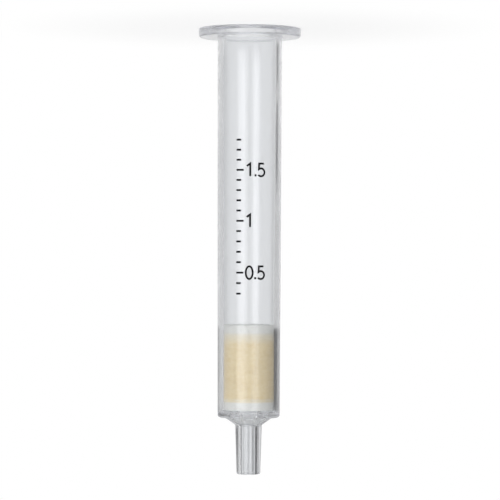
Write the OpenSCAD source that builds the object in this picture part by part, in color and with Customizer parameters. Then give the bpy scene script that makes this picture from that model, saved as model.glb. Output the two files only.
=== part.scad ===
// Solid phase extraction cartridge: a clear flanged barrel with a luer outlet, packed with a bed
// of sorbent between two porous frits.
// It stands on the flat face of its flange, which is its widest end, with the outlet pointing up.
// The axis is Z, and the origin is the centre of the flange's flat face.

/* [Flange] */
// Diameter of the finger flange at its flat face
flange_d = 17.2; // [14:0.1:24]
// Thickness of the flange
flange_thickness = 1.45; // [1:0.05:3]
// Draft of the flange's rim, as the radius lost from the flat face to the tube side
flange_rim_draft = 0.08; // [0:0.01:0.3]
// Rounding of the rim's edge at the flat face
flange_face_radius = 0.15; // [0.05:0.05:0.4]
// Rounding of the rim's edge on the tube side
flange_edge_radius = 0.35; // [0.1:0.05:0.6]
// Fillet where the tube leaves the flange
flange_fillet_radius = 0.35; // [0.1:0.05:1.5]

/* [Tube] */
// Length from the flange's flat face to the shoulder
barrel_length = 65.2; // [40:0.05:150]
// Wall of the tube at the flange
wall_at_mouth = 0.97; // [0.7:0.01:2]
// Wall of the tube at the shoulder
wall_at_base = 0.955; // [0.7:0.01:2]
// Bore of the mouth, which takes a plug or an adapter
mouth_bore_d = 8.87; // [8.6:0.01:12]
// Depth of the mouth's straight bore, before the draft of the reservoir begins
mouth_depth = 6; // [2:0.5:20]
// Lead-in chamfer of the mouth
mouth_chamfer = 0.3; // [0.1:0.05:0.6]
// Straight bore that holds the frits and the bed
packed_bore_d = 8.5; // [7:0.01:8.6]
// Straight bore left free above the upper frit
packed_bore_margin = 1; // [0.5:0.1:5]

/* [Base] */
// Thickness of the floor between the drain channels and the shoulder
floor_thickness = 0.8; // [0.6:0.05:2]
// Rounding of the base's outer edge
base_edge_radius = 0.4; // [0.1:0.05:0.6]
// Rounding of the corner inside, between the bore and the floor
floor_corner_radius = 0.3; // [0.1:0.05:0.5]
// Flat width of the shoulder between its rounded edge and the cone
shoulder_width = 0.7; // [0.3:0.05:1.5]
// Height of the cone between the shoulder and the outlet
cone_height = 1.3; // [0.8:0.05:3]
// Fillet between the cone and the outlet
cone_fillet_radius = 0.4; // [0.1:0.05:1]
// Number of ribs that carry the lower frit
rib_count = 8; // [4:1:12]
// Height of the ribs over the drain channels
rib_height = 0.5; // [0.2:0.05:1.5]
// Width of each rib
rib_width = 0.55; // [0.3:0.05:0.8]
// Distance between the ribs' inner ends and the wall of the outlet's bore
rib_setback = 0.5; // [0.2:0.05:1]
// Diameter of the funnel where it opens in the floor
funnel_d = 5.3; // [4:0.1:7]
// Depth of the funnel, from the floor to the outlet's bore
funnel_depth = 2; // [1.2:0.1:4]

/* [Luer outlet] */
// Length of the outlet beyond the cone
tip_length = 8.25; // [7.5:0.05:12]
// Diameter of the outlet at its end
luer_end_d = 3.97; // [3.925:0.005:3.99]
// Taper of the outlet, as diameter gained for each unit of length
luer_taper = 0.06; // [0.05:0.005:0.07]
// Bore of the outlet
outlet_bore_d = 2.4; // [1.5:0.05:2.8]
// Rounding of the outlet's end
tip_edge_radius = 0.25; // [0.1:0.05:0.35]

/* [Packing] */
// Thickness of the frit that lies on the ribs
lower_frit_thickness = 1.6; // [1:0.1:3]
// Length of the sorbent bed
bed_length = 10.85; // [3:0.05:30]
// Thickness of the frit on top of the bed
upper_frit_thickness = 1.8; // [1:0.1:3]
// Radial clearance between the packing and the bore
packing_clearance = 0.02; // [0.01:0.01:0.1]

/* [Hidden] */
$fn = 96;
clear_colour = [0.9, 0.92, 0.94, 0.45];
frit_colour = [0.93, 0.93, 0.92];
bed_colour = [0.87, 0.79, 0.6];

// How far a cutting shape runs past the face that it opens
cut_margin = 1;

// Heights along the axis
channel_z = barrel_length - floor_thickness;
rib_top_z = channel_z - rib_height;
bed_end_z = rib_top_z - lower_frit_thickness;
bed_start_z = bed_end_z - bed_length;
upper_frit_z = bed_start_z - upper_frit_thickness;
packed_bore_z = upper_frit_z - packed_bore_margin;
funnel_end_z = channel_z + funnel_depth;
tip_root_z = barrel_length + cone_height;
tip_end_z = tip_root_z + tip_length;

// Radii
flange_r = flange_d / 2;
mouth_r = mouth_bore_d / 2;
packed_r = packed_bore_d / 2;
packing_r = packed_r - packing_clearance;
tube_mouth_r = mouth_r + wall_at_mouth;
tube_base_r = packed_r + wall_at_base;
cone_r = tube_base_r - base_edge_radius - shoulder_width;
luer_end_r = luer_end_d / 2;
luer_root_r = luer_end_r + luer_taper * tip_length / 2;
outlet_r = outlet_bore_d / 2;
funnel_r = funnel_d / 2;
rib_inner_r = outlet_r + rib_setback;
floor_corner_r = min(floor_corner_radius, rib_height);

// Corners of the barrel's outer half section, as [radius, height]
face_centre = [0, 0];
face_edge = [flange_r, 0];
underside_edge = [flange_r - flange_rim_draft, flange_thickness];
tube_start = [tube_mouth_r, flange_thickness];
base_edge = [tube_base_r, barrel_length];
cone_start = [cone_r, barrel_length];
tip_root = [luer_root_r, tip_root_z];
tip_edge = [luer_end_r, tip_end_z];
tip_centre = [0, tip_end_z];

// Corners of the floor inside the barrel
floor_rim = [packed_r, channel_z];
packed_bore_start = [packed_r, packed_bore_z];
funnel_rim = [funnel_r, channel_z];

function unit(v) = v / norm(v);

// The area between the corner p, whose sides run towards a and b, and an arc of radius r that
// touches both sides. Cut away it rounds a corner, and added it fills one.
module corner_fill(p, a, b, r) {
  u = unit(a - p);
  v = unit(b - p);
  half_angle = acos(u * v) / 2;
  reach = r / tan(half_angle);
  centre = p + unit(u + v) * r / sin(half_angle);
  difference() {
    polygon([p, p + u * reach, centre, p + v * reach]);
    translate(centre) circle(r = r);
  }
}

// Half section of the barrel's outside: flange, drafted tube, shoulder, cone and luer taper.
module outer_section() {
  difference() {
    union() {
      polygon([
        face_centre, face_edge, underside_edge, tube_start, base_edge,
        cone_start, tip_root, tip_edge, tip_centre
      ]);
      corner_fill(tube_start, underside_edge, base_edge, flange_fillet_radius);
      corner_fill(tip_root, cone_start, tip_edge, cone_fillet_radius);
    }
    corner_fill(face_edge, face_centre, underside_edge, flange_face_radius);
    corner_fill(underside_edge, face_edge, tube_start, flange_edge_radius);
    corner_fill(base_edge, tube_start, cone_start, base_edge_radius);
    corner_fill(tip_edge, tip_root, tip_centre, tip_edge_radius);
  }
}

// Half section of the space inside: mouth, drafted reservoir, packed bore, funnel and outlet.
module cavity_section() {
  difference() {
    polygon([
      [0, -cut_margin],
      [mouth_r + mouth_chamfer + cut_margin, -cut_margin],
      [mouth_r, mouth_chamfer],
      [mouth_r, mouth_depth],
      packed_bore_start,
      floor_rim,
      funnel_rim,
      [outlet_r, funnel_end_z],
      [outlet_r, tip_end_z + cut_margin],
      [0, tip_end_z + cut_margin]
    ]);
    corner_fill(floor_rim, packed_bore_start, funnel_rim, floor_corner_r);
  }
}

// Radial ribs on the floor. They carry the frit and leave drain channels that lead to the funnel,
// and their outer ends run into the tube's wall.
module ribs() {
  rib_length = packed_r + wall_at_base / 2 - rib_inner_r;
  rib_depth = rib_height + funnel_depth;
  for (i = [0 : rib_count - 1]) {
    rotate(360 / rib_count * (i + 0.5))
      translate([rib_inner_r, -rib_width / 2, rib_top_z])
        cube([rib_length, rib_width, rib_depth]);
  }
}

module barrel() {
  color(clear_colour)
    difference() {
      rotate_extrude() outer_section();
      difference() {
        rotate_extrude() cavity_section();
        ribs();
      }
    }
}

// A disc or plug of the packing, from one height to another.
module packed_disc(low_z, high_z) {
  translate([0, 0, low_z]) cylinder(r = packing_r, h = high_z - low_z);
}

module lower_frit() {
  color(frit_colour) packed_disc(bed_end_z, rib_top_z);
}

module sorbent_bed() {
  color(bed_colour) packed_disc(bed_start_z, bed_end_z);
}

module upper_frit() {
  color(frit_colour) packed_disc(upper_frit_z, bed_start_z);
}

barrel();
lower_frit();
sorbent_bed();
upper_frit();
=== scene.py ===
"""Dresses a packed extraction cartridge: clear barrel, frits, sorbent bed, printed scale and stage."""

import math

import bmesh
import bpy
import numpy as np
from bpy.props import FloatProperty, FloatVectorProperty, IntProperty, PointerProperty
from mathutils import Matrix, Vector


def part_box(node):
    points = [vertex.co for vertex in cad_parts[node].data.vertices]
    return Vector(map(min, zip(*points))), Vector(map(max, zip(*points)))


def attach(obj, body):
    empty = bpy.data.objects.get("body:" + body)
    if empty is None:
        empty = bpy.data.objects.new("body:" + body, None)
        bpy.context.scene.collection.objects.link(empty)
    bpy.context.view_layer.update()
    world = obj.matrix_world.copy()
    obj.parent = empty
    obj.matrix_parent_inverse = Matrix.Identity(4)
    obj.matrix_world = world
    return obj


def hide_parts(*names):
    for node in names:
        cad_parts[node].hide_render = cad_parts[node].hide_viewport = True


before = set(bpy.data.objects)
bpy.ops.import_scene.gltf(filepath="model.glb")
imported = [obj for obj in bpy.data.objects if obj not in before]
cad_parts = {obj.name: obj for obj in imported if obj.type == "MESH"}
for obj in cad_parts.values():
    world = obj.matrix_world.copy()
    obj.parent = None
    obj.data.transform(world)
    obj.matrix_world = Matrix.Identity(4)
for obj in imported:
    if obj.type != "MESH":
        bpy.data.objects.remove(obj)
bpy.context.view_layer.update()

bl_info = {
    "name": "Extraction Cartridge",
    "version": (1, 0, 0),
    "blender": (4, 5, 0),
    "location": "View3D > Sidebar > Cartridge",
    "description": "Builds the looks of a packed extraction cartridge around its fixed frame",
    "category": "Object",
}

BODY = "root"
CLEAR_PIECES = "clear_pieces"
MM = 0.001
TENTH_MILLILITRE = 1e-7  # in cubic metres

# Heights and the radius that the frame gives, in metres. The outlet points up.
TIP_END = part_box("barrel")[1].z
RIB_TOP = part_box("lower_frit")[1].z
BED_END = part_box("sorbent_bed")[1].z
BED_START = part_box("sorbent_bed")[0].z
UPPER_FRIT_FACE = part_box("upper_frit")[0].z
PACKING_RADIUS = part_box("sorbent_bed")[1].x

# How finely the surfaces are cut: steps of a rounded corner, columns round a disc, and the longest
# side of a quad on the tube and on the packing.
CORNER_STEPS = 8
DISC_EDGE_STEPS = 5
DISC_COLUMNS = 160
TUBE_QUAD = 3 * MM
FLOOR_QUAD = 0.5 * MM
PACKING_QUAD = 0.3 * MM


# ---------------------------------------------------------------------------------------------
# Sizes and colours
# ---------------------------------------------------------------------------------------------


def length(name, description, default_mm, low_mm=0.0, high_mm=200.0):
    """A length property, given here in millimetres and held in metres."""
    return FloatProperty(
        name=name,
        description=description,
        default=default_mm * MM,
        min=low_mm * MM,
        max=high_mm * MM,
        precision=5,
        subtype="DISTANCE",
        unit="LENGTH",
    )


def factor(name, description, default):
    """A factor property from 0 to 1."""
    return FloatProperty(
        name=name, description=description, default=default, min=0.0, max=1.0, subtype="FACTOR"
    )


def brightness(name, description, default):
    """How bright a lamp's face or the room shows, where 1 is white."""
    return FloatProperty(name=name, description=description, default=default, min=0.0)


def colour(name, description, default):
    """A colour property, in linear light."""
    return FloatVectorProperty(
        name=name, description=description, default=default, min=0.0, max=1.0, size=3, subtype="COLOR"
    )


def srgb(red, green, blue):
    """The linear colour of an 8-bit display colour."""
    channels = np.array([red, green, blue]) / 255
    linear = np.where(channels <= 0.04045, channels / 12.92, ((channels + 0.055) / 1.055) ** 2.4)
    return tuple(float(c) for c in linear)


class CartridgeBarrelSettings(bpy.types.PropertyGroup):
    """Sizes and finish of the clear moulded barrel."""

    flange_radius: length("Flange radius", "Radius of the flange at its flat face", 8.6)
    flange_thickness: length("Flange thickness", "Thickness of the flange", 1.45)
    rim_draft: length("Rim draft", "Radius that the rim loses towards the tube", 0.08)
    face_rounding: length("Face rounding", "Rounding of the rim at the flat face", 0.15)
    edge_rounding: length("Edge rounding", "Rounding of the rim on the tube side", 0.35)
    flange_fillet: length("Flange fillet", "Fillet between flange and tube", 0.35)
    shoulder_height: length("Shoulder height", "Height of the shoulder over the flat face", 65.2)
    tube_radius_at_flange: length("Tube radius at flange", "Outer radius at the flange", 5.405)
    tube_radius_at_base: length("Tube radius at base", "Outer radius at the shoulder", 5.205)
    mouth_radius: length("Mouth radius", "Radius of the mouth's bore", 4.435)
    mouth_depth: length("Mouth depth", "Depth of the straight bore at the mouth", 6.0)
    mouth_chamfer: length("Mouth chamfer", "Lead-in chamfer of the mouth", 0.3)
    packed_radius: length("Packed bore radius", "Radius of the bore round the packing", 4.25)
    packed_margin: length("Packed margin", "Straight bore above the upper frit", 1.0)
    base_rounding: length("Base rounding", "Rounding of the base's outer edge", 0.4)
    floor_rounding: length("Floor rounding", "Rounding of the corner inside the base", 0.3)
    cone_radius: length("Cone radius", "Radius of the cone at the shoulder", 4.105)
    cone_height: length("Cone height", "Height of the cone", 1.3)
    cone_fillet: length("Cone fillet", "Fillet between the cone and the outlet", 0.4)
    rib_height: length("Rib height", "Height of the ribs over the drain channels", 0.5)
    rib_width: length("Rib width", "Width of each rib", 0.55)
    rib_inner_radius: length("Rib inner radius", "Radius at which the ribs end", 1.7)
    funnel_radius: length("Funnel radius", "Radius of the funnel in the floor", 2.65)
    funnel_depth: length("Funnel depth", "Depth of the funnel", 2.0)
    luer_root_radius: length("Luer root radius", "Radius of the outlet at the cone", 2.2325)
    luer_end_radius: length("Luer end radius", "Radius of the outlet at its end", 1.985)
    outlet_radius: length("Outlet radius", "Radius of the outlet's bore", 1.2)
    tip_rounding: length("Tip rounding", "Rounding of the outlet's end", 0.25)
    rib_count: IntProperty(name="Ribs", description="Number of ribs", default=8, min=4, max=12)
    tint: colour("Tint", "Colour of the clear plastic", (0.8905, 0.899, 0.9075))
    clearness: factor("Clearness", "Share of light that passes the moulded skin", 0.9)
    gloss: factor("Roughness", "Roughness of the polished skin", 0.02)
    tube_roughness: factor("Tube roughness", "Roughness of the tube", 0.05)
    drain_roughness: factor("Drain roughness", "Roughness of the drain floor and its ribs", 0.6)
    rim_roughness: factor("Rim roughness", "Roughness of the flange's rim and tube side", 0.2)
    base_roughness: factor("Base roughness", "Roughness of the shoulder and its cone", 0.25)
    face_roughness: factor("Face roughness", "Roughness of the flange's flat face", 0.4)
    wave_depth: length("Wave depth", "Depth of the flow waves in the skin", 0.01)
    refraction: FloatProperty(
        name="Refraction", description="Index of refraction of the plastic", default=1.49, min=1.0
    )
    depth_colour: colour("Depth colour", "Colour that a depth of plastic takes on", (0.5, 0.51, 0.6))
    depth_density: FloatProperty(
        name="Depth density", description="How fast plastic darkens with depth, per metre", default=20.0
    )


class CartridgePackingSettings(bpy.types.PropertyGroup):
    """Colours and grain of the frits and of the sorbent bed."""

    frit_colour: colour("Frit", "Colour of the sintered beads", srgb(242, 242, 237))
    frit_shade: colour("Frit shade", "Colour of the pores", srgb(208, 209, 204))
    frit_edge: length("Frit edge", "Rounding of the discs' edges", 0.07)
    bead: length("Bead", "Size of the sintered beads", 0.14)
    bed_colour: colour("Sorbent", "Main colour of the sorbent", srgb(244, 226, 179))
    bed_shade: colour("Sorbent shade", "Colour between the grains", srgb(218, 187, 124))
    bed_end_colour: colour("Sorbent ends", "Colour of the dusted ends of the bed", srgb(236, 231, 214))
    upper_fade: length("Upper fade", "Length of the paler end at the upper frit", 1.7)
    lower_fade: length("Lower fade", "Length of the paler end at the lower frit", 0.45)
    upper_stain: length("Upper stain", "Depth to which sorbent stains the upper frit", 0.7)
    lower_stain: length("Lower stain", "Depth to which sorbent stains the lower frit", 0.45)
    grain: length("Grain", "Size of the grain clusters that show", 0.09)


class CartridgePrintSettings(bpy.types.PropertyGroup):
    """The printed volume scale on the barrel. Its marks stop before 2, so its numbers are 0.5, 1 and 1.5."""

    ink: colour("Ink", "Colour of the print", (0.004, 0.004, 0.005))
    stroke: length("Stroke", "Width of a printed line", 0.32)
    thickness: length("Thickness", "Thickness of the ink", 0.012)
    standoff: length("Standoff", "From the barrel's skin to the underside of the ink", 0.002)
    pen_step: length("Pen step", "Longest straight piece of a stroke, so that it follows the tube", 0.15)
    digit_height: length("Digit height", "Height of the digits", 2.1)
    digit_width: length("Digit width", "Width of the digits", 1.15)
    digit_gap: length("Digit gap", "Space between two digits", 0.42)
    tick: length("Tick", "Length of a short mark", 0.8)
    long_tick: length("Long tick", "Length of a mark that has a number", 1.25)
    scale_aside: length("Scale aside", "From the middle of the print to the start of the marks", 2.2)
    number_gap: length("Number gap", "Space between a long mark and its number", 0.4)
    first_mark: IntProperty(
        name="First mark", description="First mark, in tenths of a millilitre", default=3, min=1, max=19
    )
    last_mark: IntProperty(
        name="Last mark", description="Last mark, in tenths of a millilitre", default=18, min=1, max=19
    )


class CartridgeStageSettings(bpy.types.PropertyGroup):
    """Camera, floor, lamps and the light tent that shades the clear plastic."""

    camera_distance: length("Camera distance", "From the axis to the camera", 391.5, high_mm=2000)
    camera_height: length("Camera height", "Height of the camera over the floor", 37.14)
    camera_aside: length("Camera aside", "How far the camera stands to the right", -0.14, low_mm=-50)
    focal_pixels: FloatProperty(
        name="Focal length", description="Focal length in pixels of a 500 pixel frame", default=2330.0
    )
    lean: FloatProperty(
        name="Lean", description="Roll of the camera", default=math.radians(0.2056), subtype="ANGLE"
    )
    lamp_distance: length("Lamp distance", "From the axis to the soft boxes", 58, high_mm=2000)
    lamp_height: length("Lamp height", "Height of the soft boxes over the floor", 200, high_mm=2000)
    left_box: brightness("Left soft box", "Brightness of the left soft box", 1.04)
    right_box: brightness("Right soft box", "Brightness of the right soft box", 0.28)
    back_box: brightness("Back soft box", "Brightness of the soft box behind", 1.0)
    left_gleam: brightness("Left gleam", "Brightness of the left strip in the gloss", 1.22)
    right_gleam: brightness("Right gleam", "Brightness of the right strip in the gloss", 1.14)
    gleam_inset: length("Gleam inset", "How far the strips stand inside the soft boxes", 1.0)
    room: brightness("Room", "Brightness of the room round the object", 0.5)
    tent_distance: length("Tent distance", "From the axis to the light tent", 30, high_mm=500)
    ring_distance: length("Ring distance", "From the axis to the ring that gloss shows", 62, high_mm=500)
    floor_reach: length("Floor reach", "From the axis to the floor's edges", 2000, high_mm=5000)
    floor_drop: length("Floor drop", "How far the floor lies under the part's lowest face", 0.03)


# ---------------------------------------------------------------------------------------------
# Surfaces
# ---------------------------------------------------------------------------------------------


def arc_corner(before, corner, after, radius, steps):
    """Points of the arc that touches both sides of a corner: tangent points at radius / tan(half
    angle) from it, and between them a turn about the centre on the bisector. Radius 0 keeps the corner."""
    if radius <= 0:
        return corner[None, :]
    u = (before - corner) / np.linalg.norm(before - corner)
    v = (after - corner) / np.linalg.norm(after - corner)
    half = math.acos(float(np.clip(u @ v, -1, 1))) / 2
    bisector = (u + v) / np.linalg.norm(u + v)
    centre = corner + bisector * radius / math.sin(half)
    start = corner + u * radius / math.tan(half) - centre
    end = corner + v * radius / math.tan(half) - centre
    whole = math.atan2(start[0] * end[1] - start[1] * end[0], start @ end)
    turn = np.linspace(0, whole, steps + 1)[:, None]
    across = np.array([-start[1], start[0]])
    return centre + np.cos(turn) * start + np.sin(turn) * across


def with_supports(points, longest, inset=0.05 * MM):
    """A profile with each long side cut at the inset from both its ends, so that smooth shading stays
    flat along it, and between those cuts into equal lengths of at most the longest."""
    pieces = []
    for a, b in zip(points[:-1], points[1:]):
        span = float(np.linalg.norm(b - a))
        marks = np.array([0.0])
        if span >= 6 * inset:
            count = max(1, math.ceil(span / longest))
            marks = np.concatenate([marks, np.linspace(inset / span, 1 - inset / span, count + 1)])
        pieces.append(a + marks[:, None] * (b - a))
    return np.concatenate([*pieces, points[-1:]])


def rounded_profile(corners, longest=TUBE_QUAD, steps=CORNER_STEPS):
    """An open profile of radius and height, from corners that each give a radius, a height and the
    rounding there. Its sides are supported."""
    corners = np.array(corners, float)
    points, roundings = corners[:, :2], corners[:, 2]
    rows = [points[:1]]
    for i in range(1, len(points) - 1):
        rows.append(arc_corner(points[i - 1], points[i], points[i + 1], roundings[i], steps))
    rows.append(points[-1:])
    return with_supports(np.concatenate(rows), longest)


def resample(points, count):
    """The same open profile with another number of points, spread evenly by their index."""
    old = np.arange(len(points))
    new = np.linspace(0, len(points) - 1, count)
    return np.stack([np.interp(new, old, points[:, i]) for i in range(2)], axis=1)


def grid_faces(rows, columns, close_rows, close_columns):
    """Corner numbers of every quad of a grid, with its rows and columns joined up at the ends or not.
    The faces point outwards on a profile that runs with its solid on the left."""
    i = np.arange(rows if close_rows else rows - 1)
    j = np.arange(columns if close_columns else columns - 1)
    i, j = np.meshgrid(i, j, indexing="ij")
    here, up = i * columns, (i + 1) % rows * columns
    along = (j + 1) % columns
    return np.stack([here + j, here + along, up + along, up + j], axis=-1).reshape(-1, 4)


def mesh_object(name, vertices, faces, marks=None):
    """A smooth mesh object from whole arrays, with coincident points merged, empty faces dissolved
    and edges over 30 degrees kept sharp. Marks are named numbers, one to each vertex."""
    mesh = bpy.data.meshes.new(name)
    mesh.from_pydata(vertices.reshape(-1, 3).tolist(), [], faces.tolist())
    for label, values in (marks or {}).items():
        layer = mesh.attributes.new(label, "FLOAT", "POINT")
        layer.data.foreach_set("value", np.ascontiguousarray(values, np.float32).ravel())
    made = bmesh.new()
    made.from_mesh(mesh)
    bmesh.ops.remove_doubles(made, verts=made.verts, dist=1e-7)
    bmesh.ops.dissolve_degenerate(made, edges=made.edges, dist=1e-7)
    made.to_mesh(mesh)
    made.free()
    mesh.shade_smooth()
    mesh.set_sharp_from_angle(angle=math.radians(30))
    piece = bpy.data.objects.new(name, mesh)
    bpy.context.scene.collection.objects.link(piece)
    return piece


def revolve(name, profile, columns=DISC_COLUMNS):
    """A profile of radius and height turned about Z: x = r cos t, y = r sin t, z = h."""
    turn = np.linspace(0, 2 * np.pi, columns, endpoint=False)
    radius, height = profile[:, :1], profile[:, 1:]
    rise = np.broadcast_to(height, (len(profile), columns))
    grid = np.stack([radius * np.cos(turn), radius * np.sin(turn), rise], axis=-1)
    return mesh_object(name, grid, grid_faces(len(profile), columns, False, True))


# ---------------------------------------------------------------------------------------------
# Barrel
# ---------------------------------------------------------------------------------------------


def outside_profile(s):
    """The outside: flat face, flange, drafted tube, shoulder, cone, luer taper and end face."""
    return rounded_profile(
        [
            (s.mouth_radius + s.mouth_chamfer, 0, 0),
            (s.flange_radius, 0, s.face_rounding),
            (s.flange_radius - s.rim_draft, s.flange_thickness, s.edge_rounding),
            (s.tube_radius_at_flange, s.flange_thickness, s.flange_fillet),
            (s.tube_radius_at_base, s.shoulder_height, s.base_rounding),
            (s.cone_radius, s.shoulder_height, 0),
            (s.luer_root_radius, s.shoulder_height + s.cone_height, s.cone_fillet),
            (s.luer_end_radius, TIP_END, s.tip_rounding),
            (s.outlet_radius, TIP_END, 0),
        ]
    )


def floor_profiles(s, channel, rib_foot, bore_end):
    """The floor from the foot of a rib to the bore, once through a drain channel and once through a
    rib. Both have the same number of points and the same ends."""
    through_channel = rounded_profile(
        [rib_foot, (s.funnel_radius, channel, 0), (s.packed_radius, channel, s.floor_rounding), bore_end],
        FLOOR_QUAD,
    )
    through_rib = rounded_profile([rib_foot, (s.rib_inner_radius, RIB_TOP, 0), bore_end], FLOOR_QUAD)
    return through_channel, resample(through_rib, len(through_channel))


def bore_profile(s, bore_end):
    """The inside wall: packed bore, drafted reservoir, straight mouth and its chamfer."""
    return rounded_profile(
        [
            bore_end,
            (s.packed_radius, UPPER_FRIT_FACE - s.packed_margin, 0),
            (s.mouth_radius, s.mouth_depth, 0),
            (s.mouth_radius, s.mouth_chamfer, 0),
            (s.mouth_radius + s.mouth_chamfer, 0, 0),
        ]
    )


def skin_roughness(s, channel, profile, on_floor):
    """The least roughness of the skin at each point of the closed profile."""
    radius, height = profile.T
    satin = np.where(on_floor, s.drain_roughness, 0.0)
    along_tube = height < channel
    satin[along_tube] = np.maximum(satin[along_tube], s.tube_roughness)
    outside_mouth = radius > s.mouth_radius + 0.01 * MM
    satin[(height < s.flange_thickness + s.flange_fillet) & outside_mouth] = s.rim_roughness
    satin[height < s.face_rounding] = s.face_roughness
    on_cone = (height < s.shoulder_height + s.cone_height) & (radius > s.luer_root_radius)
    near_base = (height > channel) & on_cone
    satin[near_base] = np.maximum(satin[near_base], s.base_roughness)
    return satin


def barrel_profiles(s):
    """Two closed profiles of the barrel with the same number of points, with the solid on the left:
    one through a drain channel and one through a rib. They differ only between the funnel and the bore.
    The third array is the least roughness of the skin at each point."""
    channel = RIB_TOP + s.rib_height
    share_of_funnel = (s.funnel_radius - s.rib_inner_radius) / (s.funnel_radius - s.outlet_radius)
    rib_foot = (s.rib_inner_radius, channel + share_of_funnel * s.funnel_depth, 0)
    bore_end = (s.packed_radius, RIB_TOP, 0)
    funnel_end = (s.outlet_radius, channel + s.funnel_depth, 0)
    outside = outside_profile(s)
    outlet = rounded_profile([(s.outlet_radius, TIP_END, 0), funnel_end, rib_foot])
    through_channel, through_rib = floor_profiles(s, channel, rib_foot, bore_end)
    bore = bore_profile(s, bore_end)
    channel_side = np.concatenate([outside[:-1], outlet[:-1], through_channel[:-1], bore[:-1]])
    rib_side = np.concatenate([outside[:-1], outlet[:-1], through_rib[:-1], bore[:-1]])
    lengths = [len(part) - 1 for part in (outside, outlet, through_channel, bore)]
    on_floor = np.repeat([False, False, True, False], lengths)
    return channel_side, rib_side, skin_roughness(s, channel, channel_side, on_floor)


def barrel_surface(s, rib_columns=5, channel_columns=27):
    """The barrel as one closed grid. Rows follow the profile. Columns go round by sectors, one to a
    rib: across a rib they keep a distance d from its middle plane, at the angle asin(d / r), and
    between two ribs they share out the angle that is left. Rib columns take the profile through a rib."""
    channel_side, rib_side, satin = barrel_profiles(s)
    across = np.linspace(-1, 1, rib_columns)
    share = np.linspace(0, 1, channel_columns)
    on_rib = np.tile(np.repeat([True, False], [rib_columns, channel_columns]), s.rib_count)
    offset = np.tile(np.concatenate([across, np.ones(channel_columns)]), s.rib_count)
    between = np.tile(np.concatenate([np.zeros(rib_columns), share]), s.rib_count)
    sector = np.repeat(np.arange(s.rib_count), rib_columns + channel_columns) + 0.5
    radius = np.where(on_rib, rib_side[:, :1], channel_side[:, :1])
    height = np.where(on_rib, rib_side[:, 1:], channel_side[:, 1:])
    pitch = 2 * np.pi / s.rib_count
    half_rib = np.arcsin(s.rib_width / 2 / radius)
    turn = sector * pitch + np.arcsin(offset * s.rib_width / 2 / radius) + between * (pitch - 2 * half_rib)
    grid = np.stack([radius * np.cos(turn), radius * np.sin(turn), height], axis=-1)
    faces = grid_faces(len(channel_side), len(sector), True, True)
    return grid, faces, np.broadcast_to(satin[:, None], grid.shape[:2])


# ---------------------------------------------------------------------------------------------
# Material nodes
# ---------------------------------------------------------------------------------------------


def new_material(name):
    """An empty node material with a Principled shader, its tree and that shader."""
    material = bpy.data.materials.new(name)
    material.use_nodes = True
    return material, material.node_tree, material.node_tree.nodes["Principled BSDF"]


def object_place(tree, stretch=(1, 1, 1)):
    """Object coordinates, stretched along each axis."""
    mapping = tree.nodes.new("ShaderNodeMapping")
    mapping.inputs["Scale"].default_value = stretch
    tree.links.new(tree.nodes.new("ShaderNodeTexCoord").outputs["Object"], mapping.inputs["Vector"])
    return mapping.outputs["Vector"]


def axis_height(tree):
    """The height along the barrel's axis."""
    node = tree.nodes.new("ShaderNodeSeparateXYZ")
    tree.links.new(object_place(tree), node.inputs[0])
    return node.outputs["Z"]


def marked_value(tree, label):
    """The number that the mesh carries under a label."""
    node = tree.nodes.new("ShaderNodeAttribute")
    node.attribute_name = label
    return node.outputs["Fac"]


def noise(tree, place, size, detail=3.0, roughness=0.5):
    """Cloudy noise whose clouds have the given size in metres."""
    node = tree.nodes.new("ShaderNodeTexNoise")
    node.inputs["Scale"].default_value = 1 / size
    node.inputs["Detail"].default_value = detail
    node.inputs["Roughness"].default_value = roughness
    tree.links.new(place, node.inputs["Vector"])
    return node.outputs["Fac"]


def grains(tree, place, size):
    """Distance to the nearest grain's centre, in grain sizes."""
    node = tree.nodes.new("ShaderNodeTexVoronoi")
    node.inputs["Scale"].default_value = 1 / size
    tree.links.new(place, node.inputs["Vector"])
    return node.outputs["Distance"]


def rescaled(tree, value, source, target, smooth=False):
    """A value moved from one range to another and clamped there."""
    node = tree.nodes.new("ShaderNodeMapRange")
    node.interpolation_type = "SMOOTHSTEP" if smooth else "LINEAR"
    tree.links.new(value, node.inputs["Value"])
    names = ("From Min", "From Max", "To Min", "To Max")
    for name, number in zip(names, (*source, *target)):
        node.inputs[name].default_value = number
    return node.outputs["Result"]


def calculated(tree, operation, *values):
    """The result of one arithmetic step on sockets or numbers."""
    node = tree.nodes.new("ShaderNodeMath")
    node.operation = operation
    for slot, value in zip(node.inputs, values):
        if isinstance(value, bpy.types.NodeSocket):
            tree.links.new(value, slot)
        else:
            slot.default_value = value
    return node.outputs[0]


def blended(tree, share, first, second):
    """A colour between two colours, each a socket or a linear colour."""
    node = tree.nodes.new("ShaderNodeMix")
    node.data_type = "RGBA"
    tree.links.new(share, node.inputs[0])
    for slot, value in ((node.inputs[6], first), (node.inputs[7], second)):
        if isinstance(value, bpy.types.NodeSocket):
            tree.links.new(value, slot)
        else:
            slot.default_value = (*value, 1)
    return node.outputs[2]


def bumped(tree, shader, height, depth):
    """Gives a shader a bump of the given depth in metres."""
    node = tree.nodes.new("ShaderNodeBump")
    node.inputs["Distance"].default_value = depth
    tree.links.new(height, node.inputs["Height"])
    tree.links.new(node.outputs["Normal"], shader.inputs["Normal"])


# ---------------------------------------------------------------------------------------------
# Materials of the cartridge
# ---------------------------------------------------------------------------------------------


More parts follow.
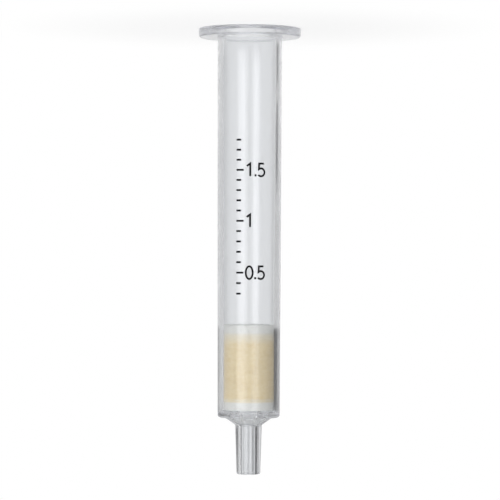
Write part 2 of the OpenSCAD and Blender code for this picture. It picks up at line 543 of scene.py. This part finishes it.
def clear_polypropylene(s):
    """Clear moulded polypropylene: a polished skin with slight flow waves, rougher where the mesh says
    so, and a grey haze that grows with the depth of plastic. Waves and streaks run along the axis."""
    material, tree, shader = new_material("clear_polypropylene")
    shader.inputs["Base Color"].default_value = (*s.tint, 1)
    shader.inputs["Transmission Weight"].default_value = s.clearness
    shader.inputs["IOR"].default_value = s.refraction
    streaks = noise(tree, object_place(tree, (1, 1, 0.2)), 1.6 * MM)
    polish = rescaled(tree, streaks, (0.3, 0.7), (s.gloss * 0.7, s.gloss * 1.3))
    roughness = calculated(tree, "MAXIMUM", polish, marked_value(tree, "satin"))
    tree.links.new(roughness, shader.inputs["Roughness"])
    waves = noise(tree, object_place(tree, (1, 1, 0.35)), 3.5 * MM, detail=1.0)
    bumped(tree, shader, waves, s.wave_depth)
    haze = tree.nodes.new("ShaderNodeVolumeAbsorption")
    haze.inputs["Color"].default_value = (*s.depth_colour, 1)
    haze.inputs["Density"].default_value = s.depth_density
    tree.links.new(haze.outputs[0], tree.nodes["Material Output"].inputs["Volume"])
    return material


def sintered_frit(s):
    """Porous sintered plastic: fused pale beads with small dark pores between them, and a stain of
    sorbent on the side of each frit that lies against the bed."""
    material, tree, shader = new_material("sintered_frit")
    beads = grains(tree, object_place(tree), s.bead)
    pores = rescaled(tree, beads, (0.45, 0.8), (0, 0.7), smooth=True)
    clouds = rescaled(tree, noise(tree, object_place(tree), 1.2 * MM), (0.35, 0.65), (0, 0.35))
    body = blended(tree, calculated(tree, "MAXIMUM", pores, clouds), s.frit_colour, s.frit_shade)
    height = axis_height(tree)
    middle = (BED_START + BED_END) / 2
    lower = rescaled(tree, height, (middle - 0.1 * MM, middle + 0.1 * MM), (0, 1))
    over_bed = rescaled(tree, height, (BED_END, BED_END + s.lower_stain), (0.85, 0), smooth=True)
    under_bed = rescaled(tree, height, (BED_START - s.upper_stain, BED_START), (0, 0.45), smooth=True)
    lower_stain = calculated(tree, "MULTIPLY", lower, over_bed)
    upper_stain = calculated(tree, "MULTIPLY", calculated(tree, "SUBTRACT", 1.0, lower), under_bed)
    stain = calculated(tree, "ADD", lower_stain, upper_stain)
    tree.links.new(blended(tree, stain, body, s.bed_colour), shader.inputs["Base Color"])
    tree.links.new(rescaled(tree, beads, (0, 0.8), (0.6, 0.95)), shader.inputs["Roughness"])
    shader.inputs["Specular IOR Level"].default_value = 0.3
    bumped(tree, shader, calculated(tree, "SUBTRACT", 1.0, beads), 0.35 * s.bead)
    return material


def packed_sorbent(s):
    """Packed fine powder: grains in clusters, faint layers from packing, and paler ends where the bed
    is dusted with fines against the frits."""
    material, tree, shader = new_material("packed_sorbent")
    powder = grains(tree, object_place(tree), s.grain)
    clusters = noise(tree, object_place(tree), 5 * s.grain, detail=4.0, roughness=0.6)
    layers = noise(tree, object_place(tree, (0.35, 0.35, 1)), 0.9 * MM, detail=2.0)
    shade = rescaled(tree, powder, (0.3, 0.8), (0.1, 0.4))
    shade = calculated(tree, "ADD", shade, rescaled(tree, clusters, (0.35, 0.65), (-0.15, 0.25)))
    shade = calculated(tree, "ADD", shade, rescaled(tree, layers, (0.35, 0.65), (-0.12, 0.12)))
    body = blended(tree, shade, s.bed_colour, s.bed_shade)
    uneven = rescaled(tree, clusters, (0.3, 0.7), (-0.25 * MM, 0.25 * MM))
    height = calculated(tree, "ADD", axis_height(tree), uneven)
    near_upper = rescaled(tree, height, (BED_START, BED_START + s.upper_fade), (0.75, 0), smooth=True)
    near_lower = rescaled(tree, height, (BED_END - s.lower_fade, BED_END), (0, 0.75), smooth=True)
    pale = calculated(tree, "MAXIMUM", near_upper, near_lower)
    tree.links.new(blended(tree, pale, body, s.bed_end_colour), shader.inputs["Base Color"])
    shader.inputs["Roughness"].default_value = 0.9
    shader.inputs["Specular IOR Level"].default_value = 0.2
    bumped(tree, shader, calculated(tree, "SUBTRACT", 1.0, powder), 0.3 * s.grain)
    return material


def scale_ink(s):
    """Black screen-printed ink."""
    material, _, shader = new_material("scale_ink")
    shader.inputs["Base Color"].default_value = (*s.ink, 1)
    shader.inputs["Roughness"].default_value = 0.7
    shader.inputs["Specular IOR Level"].default_value = 0.1
    return material


# ---------------------------------------------------------------------------------------------
# Printed scale
# ---------------------------------------------------------------------------------------------


def arc_points(centre, radii, angles, count=24):
    """Points of an elliptic arc: centre + (a cos t, b sin t), with t in degrees."""
    turn = np.radians(np.linspace(*angles, count))
    return np.stack([centre[0] + radii[0] * np.cos(turn), centre[1] + radii[1] * np.sin(turn)], axis=1)


def digit_path(character, width, height):
    """The pen's path for a digit or the point, from its lower left corner, and whether it is closed.
    A nought is an ellipse, and a five is a roof and a stem that run into an open bowl."""
    half = height / 2
    if character == "0":
        return arc_points((width / 2, half), (width / 2, half), (0, 345)), True
    if character == "1":
        return np.array([[0.1 * width, 0.8 * height], [0.6 * width, height], [0.6 * width, 0]]), False
    if character == "5":
        roof = np.array([[0.9 * width, height], [0.18 * width, height]])
        bowl = arc_points((0.46 * width, 0.62 * half), (0.54 * width, 0.62 * half), (128, -140))
        return np.concatenate([roof, bowl]), False
    if character == ".":
        return np.array([[0, -0.02 * height], [0, 0.15 * height]]), False
    raise ValueError("The scale has no pen path for " + character)


def denser(path, closed, step):
    """The same path with points at most a step apart."""
    starts = path if closed else path[:-1]
    ends = np.roll(path, -1, axis=0) if closed else path[1:]
    pieces = []
    for a, b in zip(starts, ends):
        count = max(1, math.ceil(float(np.linalg.norm(b - a)) / step))
        pieces.append(a + np.linspace(0, 1, count, endpoint=False)[:, None] * (b - a))
    return np.concatenate(pieces if closed else [*pieces, path[-1:]])


def ink_stroke(path, closed, width, levels):
    """A pen stroke as a closed strip. At each point the two sides stand off by half the width over the
    cosine of half the turn, along the mean normal, and the section is a rectangle between two levels."""
    steps = np.roll(path, -1, axis=0) - path
    steps /= np.linalg.norm(steps, axis=1, keepdims=True)
    before = np.roll(steps, 1, axis=0)
    if not closed:
        steps[-1] = before[-1]
        before[0] = steps[0]
    mean = steps + before
    normal = np.stack([-mean[:, 1], mean[:, 0]], axis=1)
    normal /= np.linalg.norm(normal, axis=1, keepdims=True)
    straight = np.stack([-steps[:, 1], steps[:, 0]], axis=1)
    reach = width / 2 / np.sum(normal * straight, axis=1, keepdims=True)
    left, right = path + normal * reach, path - normal * reach
    low, high = levels
    section = [(left, high), (right, high), (right, low), (left, low)]
    rows = np.stack([np.column_stack([side, np.full(len(side), level)]) for side, level in section], axis=1)
    faces = grid_faces(len(path), len(section), closed, True)
    if not closed:
        last = len(section) * (len(path) - 1)
        caps = np.array([[0, 3, 2, 1], [last, last + 1, last + 2, last + 3]])
        faces = np.concatenate([faces, caps])
    return rows.reshape(-1, 3), faces


def scale_strokes(s, heights):
    """The pen paths of the whole scale, on a sheet with u to the reader's right and v upwards."""
    strokes = []
    start = -s.scale_aside
    for tenths, height in heights:
        numbered = tenths % 5 == 0
        tick = s.long_tick if numbered else s.tick
        strokes.append((np.array([[start, height], [start + tick, height]]), False))
        if not numbered:
            continue
        pen = start + tick + s.number_gap
        text = str(tenths // 10) if tenths % 10 == 0 else str(tenths / 10)
        for character in text:
            path, closed = digit_path(character, s.digit_width, s.digit_height)
            strokes.append((path + [pen, height - s.digit_height / 2], closed))
            pen += s.digit_gap + (s.digit_width if character != "." else 0)
    return strokes


def mark_heights(barrel, marks, slice_count=2000):
    """Where the free bore over the upper frit holds so many tenths of a millilitre. The volume is summed
    over thin slices of pi r squared and read backwards."""
    straight = UPPER_FRIT_FACE - barrel.packed_margin
    z = np.linspace(UPPER_FRIT_FACE, barrel.mouth_chamfer, slice_count)
    radius = np.interp(z, [barrel.mouth_depth, straight], [barrel.mouth_radius, barrel.packed_radius])
    slices = np.pi * radius**2
    volume = np.concatenate([[0], np.cumsum((slices[1:] + slices[:-1]) / 2 * -np.diff(z))])
    return np.interp(np.array(marks) * TENTH_MILLILITRE, volume, z)


def scale_surface(s, barrel):
    """The whole print, bent round the tube: at radius r the sheet's u becomes the angle u / r. The reader
    sees the part with its outlet down, so the sheet's v is the height turned over."""
    marks = range(s.first_mark, s.last_mark + 1)
    heights = zip(marks, -mark_heights(barrel, marks))
    levels = (s.standoff, s.standoff + s.thickness)
    points, faces, count = [], [], 0
    for path, closed in scale_strokes(s, heights):
        rows, quads = ink_stroke(denser(path, closed, s.pen_step), closed, s.stroke, levels)
        points.append(rows)
        faces.append(quads + count)
        count += len(rows)
    u, v, level = np.concatenate(points).T
    ends = [barrel.flange_thickness, barrel.shoulder_height]
    skin = np.interp(-v, ends, [barrel.tube_radius_at_flange, barrel.tube_radius_at_base])
    radius = skin + level
    grid = np.stack([-radius * np.sin(u / skin), -radius * np.cos(u / skin), -v], axis=1)
    return grid, np.concatenate(faces)


# ---------------------------------------------------------------------------------------------
# Stage
# ---------------------------------------------------------------------------------------------

# Directions round the axis, in degrees from the camera's side towards the camera's right. Each lamp
# spans a first and a last angle.
LEFT_BOX = (-44, -5)
RIGHT_BOX = (5, 36)
BACK_BOX = (-215, -145)
LEFT_GLEAM = (-39, -16)
RIGHT_GLEAM = (13, 34)

# Cards that hang in the light tent, each a first angle, a last angle, a soft edge and a grey.
CARDS_AT_MOUTH = ((126, 132, 9, 0.2), (122, 150, 14, 0.72), (216, 250, 26, 0.7))
CARDS_AT_TUBE = ((122, 150, 12, 0.65), (216, 250, 26, 0.7))
CARDS_AT_BED = ((56, 139, 14, 0.02), (150, 196, 10, 0.45), (204, 320, 20, 0.66))
CARDS_AT_BASE = ((40, 320, 20, 0.55),)
CARDS_AT_OUTLET = (
    (98, 139, 8, 0.03),
    (141, 200, 4, 0.62),
    (163, 167, 6, 0.25),
    (177, 182, 3, 0.8),
    (210, 243, 10, 0.8),
    (246, 262, 8, 0.03),
)

# Rows of the tent from the floor up, each a height, a share of the tent's distance from the axis, and
# the cards there. The first row draws the tent in under the part like a bowl. Two rows without the
# dark card break it into two short ones near the mouth.
TENT_FOOT = 0.3
TENT_ROWS = (
    (0.5 * MM, TENT_FOOT, ()),
    (0.5 * MM, 1, CARDS_AT_MOUTH),
    (6.2 * MM, 1, CARDS_AT_MOUTH),
    (8.4 * MM, 1, CARDS_AT_TUBE),
    (9.8 * MM, 1, CARDS_AT_TUBE),
    (12 * MM, 1, CARDS_AT_MOUTH),
    (22 * MM, 1, CARDS_AT_MOUTH),
    (29.5 * MM, 1, CARDS_AT_TUBE),
    (50.6 * MM, 1, CARDS_AT_TUBE),
    (51.4 * MM, 1, CARDS_AT_BED),
    (65.7 * MM, 1, CARDS_AT_BED),
    (66.3 * MM, 1, CARDS_AT_BASE),
    (67.2 * MM, 1, CARDS_AT_BASE),
    (68.2 * MM, 1, CARDS_AT_OUTLET),
    (95 * MM, 1, CARDS_AT_OUTLET),
)

# Rows of the plain ring that gloss shows, lighter near the floor.
RING_NEAR_FLOOR = ((0, 360, 1, 0.85),)
RING_ABOVE = ((0, 360, 1, 0.6),)
RING_ROWS = (
    (0.5 * MM, 1, RING_NEAR_FLOOR),
    (12 * MM, 1, RING_NEAR_FLOOR),
    (18 * MM, 1, RING_ABOVE),
    (140 * MM, 1, RING_ABOVE),
)

# The floor's own grey, and how much white it glows with where it is seen directly: under the part, at
# the flange's shadow, and fully from the last radius on.
FLOOR_GREY = 0.85
GLOW_UNDER_PART, UNDER_PART = 0.6, 7 * MM
GLOW_AT_SHADOW, AT_SHADOW = 0.8, 10 * MM
GLOW_FULL_FROM = 45 * MM

# The camera's frame.
FRAME_PIXELS = 500
SENSOR_WIDTH = 36


def seen_directly(tree):
    """A socket that is 1 for rays by which the camera sees a backdrop: straight, in gloss or through
    clear plastic."""
    path = tree.nodes.new("ShaderNodeLightPath")
    mirrored = calculated(tree, "MAXIMUM", path.outputs["Is Camera Ray"], path.outputs["Is Glossy Ray"])
    return calculated(tree, "MAXIMUM", mirrored, path.outputs["Is Transmission Ray"])


def soft_box(name, angles, distance, height, radiance, clear, seen_by):
    """An area lamp that stands on the floor, faces the axis and spans two angles round it. Its power is
    radiance times pi times its area, so that its face shows that radiance. It shines through the
    pieces of the clear collection."""
    middle, half = math.radians(sum(angles) / 2), math.radians((angles[1] - angles[0]) / 2)
    lamp = bpy.data.lights.new(name, "AREA")
    lamp.shape = "RECTANGLE"
    lamp.size = 2 * distance * math.tan(half)
    lamp.size_y = height
    lamp.energy = radiance * math.pi * lamp.size * lamp.size_y
    holder = bpy.data.objects.new(name, lamp)
    turn = Matrix.Rotation(-middle, 4, "Z")
    out = Matrix.Translation((0, -distance, height / 2))
    holder.matrix_world = turn @ out @ Matrix.Rotation(math.radians(90), 4, "X")
    for kind in {"camera", "diffuse", "glossy", "transmission"} - seen_by:
        setattr(holder, "visible_" + kind, False)
    holder.light_linking.blocker_collection = clear
    bpy.context.scene.collection.objects.link(holder)


def card_greys(angles, cards):
    """How light the tent is at each angle. A card has its grey between its two angles, and over its soft
    edge it fades into the white cloth by the smooth step t squared times (3 - 2 t)."""
    light = np.ones_like(angles)
    for first, last, soft, grey in cards:
        off = np.clip(np.maximum(first - angles, angles - last) / soft, 0, 1)
        light *= grey + (1 - grey) * off**2 * (3 - 2 * off)
    return light


def tent_cloth():
    """Cloth that glows with the grey marked on the tent."""
    material, tree, _ = new_material("tent_cloth")
    glow = tree.nodes.new("ShaderNodeEmission")
    tree.links.new(marked_value(tree, "grey"), glow.inputs["Strength"])
    tree.links.new(glow.outputs[0], tree.nodes["Material Output"].inputs["Surface"])
    return material


def light_tent(name, distance, rows, seen_by):
    """A tent round the axis, seen by one kind of ray: x = -r sin a, y = -r cos a. Its grey fades evenly
    from one row to the next."""
    angles = np.linspace(0, 360, 361)
    turn = np.radians(angles)
    circle = np.stack([-np.sin(turn) * distance, -np.cos(turn) * distance, 0 * turn], axis=-1)
    reach = np.array([row[1] for row in rows])[:, None, None]
    heights = np.array([[[0, 0, row[0]]] for row in rows])
    grid = circle * reach + heights
    greys = np.array([card_greys(angles, row[2]) for row in rows])
    tent = mesh_object(name, grid, grid_faces(len(rows), len(angles), False, False), {"grey": greys})
    tent.data.materials.append(tent_cloth())
    for kind in {"camera", "diffuse", "glossy", "transmission", "shadow", "volume_scatter"} - {seen_by}:
        setattr(tent, "visible_" + kind, False)


def pale_floor():
    """A plain pale floor. Seen directly it is white away from the object, and near it shows its shadow."""
    material, tree, shader = new_material("pale_floor")
    shader.inputs["Base Color"].default_value = (FLOOR_GREY, FLOOR_GREY, FLOOR_GREY, 1)
    shader.inputs["Roughness"].default_value = 1.0
    shader.inputs["Specular IOR Level"].default_value = 0.0
    off_axis = tree.nodes.new("ShaderNodeVectorMath")
    off_axis.operation = "LENGTH"
    tree.links.new(object_place(tree), off_axis.inputs[0])
    distance = off_axis.outputs["Value"]
    near = rescaled(
        tree, distance, (UNDER_PART, AT_SHADOW), (GLOW_UNDER_PART, GLOW_AT_SHADOW), smooth=True
    )
    far = rescaled(tree, distance, (AT_SHADOW, GLOW_FULL_FROM), (0, 1 - GLOW_AT_SHADOW), smooth=True)
    amount = calculated(tree, "MULTIPLY", seen_directly(tree), calculated(tree, "ADD", near, far))
    glow = tree.nodes.new("ShaderNodeEmission")
    mix = tree.nodes.new("ShaderNodeMixShader")
    tree.links.new(amount, mix.inputs[0])
    tree.links.new(shader.outputs[0], mix.inputs[1])
    tree.links.new(glow.outputs[0], mix.inputs[2])
    tree.links.new(mix.outputs[0], tree.nodes["Material Output"].inputs["Surface"])
    return material


def studio_floor(s):
    """A square floor just under the part's flat face."""
    corners = np.array([[-1, -1, 0], [1, -1, 0], [1, 1, 0], [-1, 1, 0]]) * s.floor_reach
    floor = mesh_object("floor", corners - [0, 0, s.floor_drop], np.array([[0, 1, 2, 3]]))
    floor.data.materials.append(pale_floor())


def studio_world(s):
    """A grey room, and white where the camera sees it directly, in gloss or through clear plastic."""
    world = bpy.data.worlds.new("studio")
    world.use_nodes = True
    tree = world.node_tree
    background = tree.nodes["Background"]
    background.inputs["Color"].default_value = (1, 1, 1, 1)
    brightness_seen = rescaled(tree, seen_directly(tree), (0, 1), (s.room, 1))
    tree.links.new(brightness_seen, background.inputs["Strength"])
    return world


def studio_camera(s):
    """A level camera that is rolled by half a turn and a slight lean, so the outlet points down."""
    camera = bpy.data.cameras.new("camera")
    camera.sensor_width = SENSOR_WIDTH
    camera.lens = s.focal_pixels / FRAME_PIXELS * SENSOR_WIDTH
    camera.clip_start, camera.clip_end = 0.01, 20
    holder = bpy.data.objects.new("camera", camera)
    place = Matrix.Translation((s.camera_aside, -s.camera_distance, s.camera_height))
    level = Matrix.Rotation(math.radians(90), 4, "X")
    roll = Matrix.Rotation(math.pi + s.lean, 4, "Z")
    holder.matrix_world = place @ level @ roll
    return holder


# ---------------------------------------------------------------------------------------------
# Operators
# ---------------------------------------------------------------------------------------------


def finish_piece(piece, node, material):
    """Gives a piece its material, lets it stand for a frame node and ride on the body."""
    piece.data.materials.append(material)
    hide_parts(node)
    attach(piece, BODY)


class CARTRIDGE_OT_stage(bpy.types.Operator):
    """Sets the camera, the soft lamps, the light tent and the floor"""

    bl_idname = "cartridge.stage"
    bl_label = "Stage"

    def execute(self, context):
        s = context.scene.cartridge_stage
        scene = context.scene
        scene.view_settings.view_transform = "Standard"
        scene.world = studio_world(s)
        scene.camera = studio_camera(s)
        scene.collection.objects.link(scene.camera)

        clear = bpy.data.collections.new(CLEAR_PIECES)
        boxes = s.lamp_distance
        gleams = s.lamp_distance - s.gleam_inset
        both, diffuse, glossy = {"diffuse", "glossy"}, {"diffuse"}, {"glossy"}
        soft_box("soft_box_left", LEFT_BOX, boxes, s.lamp_height, s.left_box, clear, both)
        soft_box("soft_box_right", RIGHT_BOX, boxes, s.lamp_height, s.right_box, clear, both)
        soft_box("soft_box_back", BACK_BOX, boxes, s.lamp_height, s.back_box, clear, diffuse)
        soft_box("gleam_left", LEFT_GLEAM, gleams, s.lamp_height, s.left_gleam, clear, glossy)
        soft_box("gleam_right", RIGHT_GLEAM, gleams, s.lamp_height, s.right_gleam, clear, glossy)

        light_tent("light_tent", s.tent_distance, TENT_ROWS, "transmission")
        light_tent("gloss_ring", s.ring_distance, RING_ROWS, "glossy")
        studio_floor(s)
        return {"FINISHED"}


class CARTRIDGE_OT_barrel(bpy.types.Operator):
    """Builds the clear moulded barrel, with its flange, base, drain ribs and luer outlet"""

    bl_idname = "cartridge.barrel"
    bl_label = "Barrel"

    def execute(self, context):
        s = context.scene.cartridge_barrel
        grid, faces, satin = barrel_surface(s)
        piece = mesh_object("moulded_barrel", grid, faces, {"satin": satin})
        finish_piece(piece, "barrel", clear_polypropylene(s))
        clear = bpy.data.collections[CLEAR_PIECES]
        clear.objects.link(piece)
        clear.collection_objects[0].light_linking.link_state = "EXCLUDE"
        return {"FINISHED"}


class CARTRIDGE_OT_frits(bpy.types.Operator):
    """Builds the two sintered frits"""

    bl_idname = "cartridge.frits"
    bl_label = "Frits"

    def execute(self, context):
        s = context.scene.cartridge_packing
        material = sintered_frit(s)
        for node in ("lower_frit", "upper_frit"):
            low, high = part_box(node)
            corners = [
                (0, low.z, 0),
                (PACKING_RADIUS, low.z, s.frit_edge),
                (PACKING_RADIUS, high.z, s.frit_edge),
                (0, high.z, 0),
            ]
            piece = revolve("sintered_" + node, rounded_profile(corners, PACKING_QUAD, DISC_EDGE_STEPS))
            finish_piece(piece, node, material)
        return {"FINISHED"}


class CARTRIDGE_OT_bed(bpy.types.Operator):
    """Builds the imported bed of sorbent"""

    bl_idname = "cartridge.bed"
    bl_label = "Sorbent bed"

    def execute(self, context):
        s = context.scene.cartridge_packing
        corners = [
            (0, BED_START, 0),
            (PACKING_RADIUS, BED_START, 0),
            (PACKING_RADIUS, BED_END, 0),
            (0, BED_END, 0),
        ]
        piece = revolve("packed_sorbent_bed", rounded_profile(corners, PACKING_QUAD))
        finish_piece(piece, "sorbent_bed", packed_sorbent(s))
        return {"FINISHED"}


class CARTRIDGE_OT_scale(bpy.types.Operator):
    """Prints the volume scale on the barrel"""

    bl_idname = "cartridge.scale"
    bl_label = "Printed scale"

    def execute(self, context):
        s = context.scene.cartridge_print
        grid, faces = scale_surface(s, context.scene.cartridge_barrel)
        piece = mesh_object("printed_scale", grid, faces)
        piece.data.materials.append(scale_ink(s))
        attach(piece, BODY)
        return {"FINISHED"}


# ---------------------------------------------------------------------------------------------
# Panel and registration
# ---------------------------------------------------------------------------------------------


class CARTRIDGE_PT_panel(bpy.types.Panel):
    """Lists the steps that build the cartridge"""

    bl_idname = "CARTRIDGE_PT_panel"
    bl_label = "Extraction Cartridge"
    bl_space_type = "VIEW_3D"
    bl_region_type = "UI"
    bl_category = "Cartridge"

    def draw(self, context):
        for operator in OPERATORS:
            self.layout.operator(operator.bl_idname)


SETTINGS = {
    "cartridge_barrel": CartridgeBarrelSettings,
    "cartridge_packing": CartridgePackingSettings,
    "cartridge_print": CartridgePrintSettings,
    "cartridge_stage": CartridgeStageSettings,
}
OPERATORS = (
    CARTRIDGE_OT_stage,
    CARTRIDGE_OT_barrel,
    CARTRIDGE_OT_frits,
    CARTRIDGE_OT_bed,
    CARTRIDGE_OT_scale,
)


def register():
    """Registers the settings, the operators and the panel, and hangs the settings on the scene."""
    for kind in (*SETTINGS.values(), *OPERATORS, CARTRIDGE_PT_panel):
        bpy.utils.register_class(kind)
    for name, group in SETTINGS.items():
        setattr(bpy.types.Scene, name, PointerProperty(type=group))


def unregister():
    """Takes away what register put in place."""
    for name in SETTINGS:
        delattr(bpy.types.Scene, name)
    for kind in (CARTRIDGE_PT_panel, *reversed(OPERATORS), *SETTINGS.values()):
        bpy.utils.unregister_class(kind)


def main():
    """Builds the whole scene."""
    register()
    bpy.ops.cartridge.stage()
    bpy.ops.cartridge.barrel()
    bpy.ops.cartridge.frits()
    bpy.ops.cartridge.bed()
    bpy.ops.cartridge.scale()


if __name__ == "__main__":
    main()
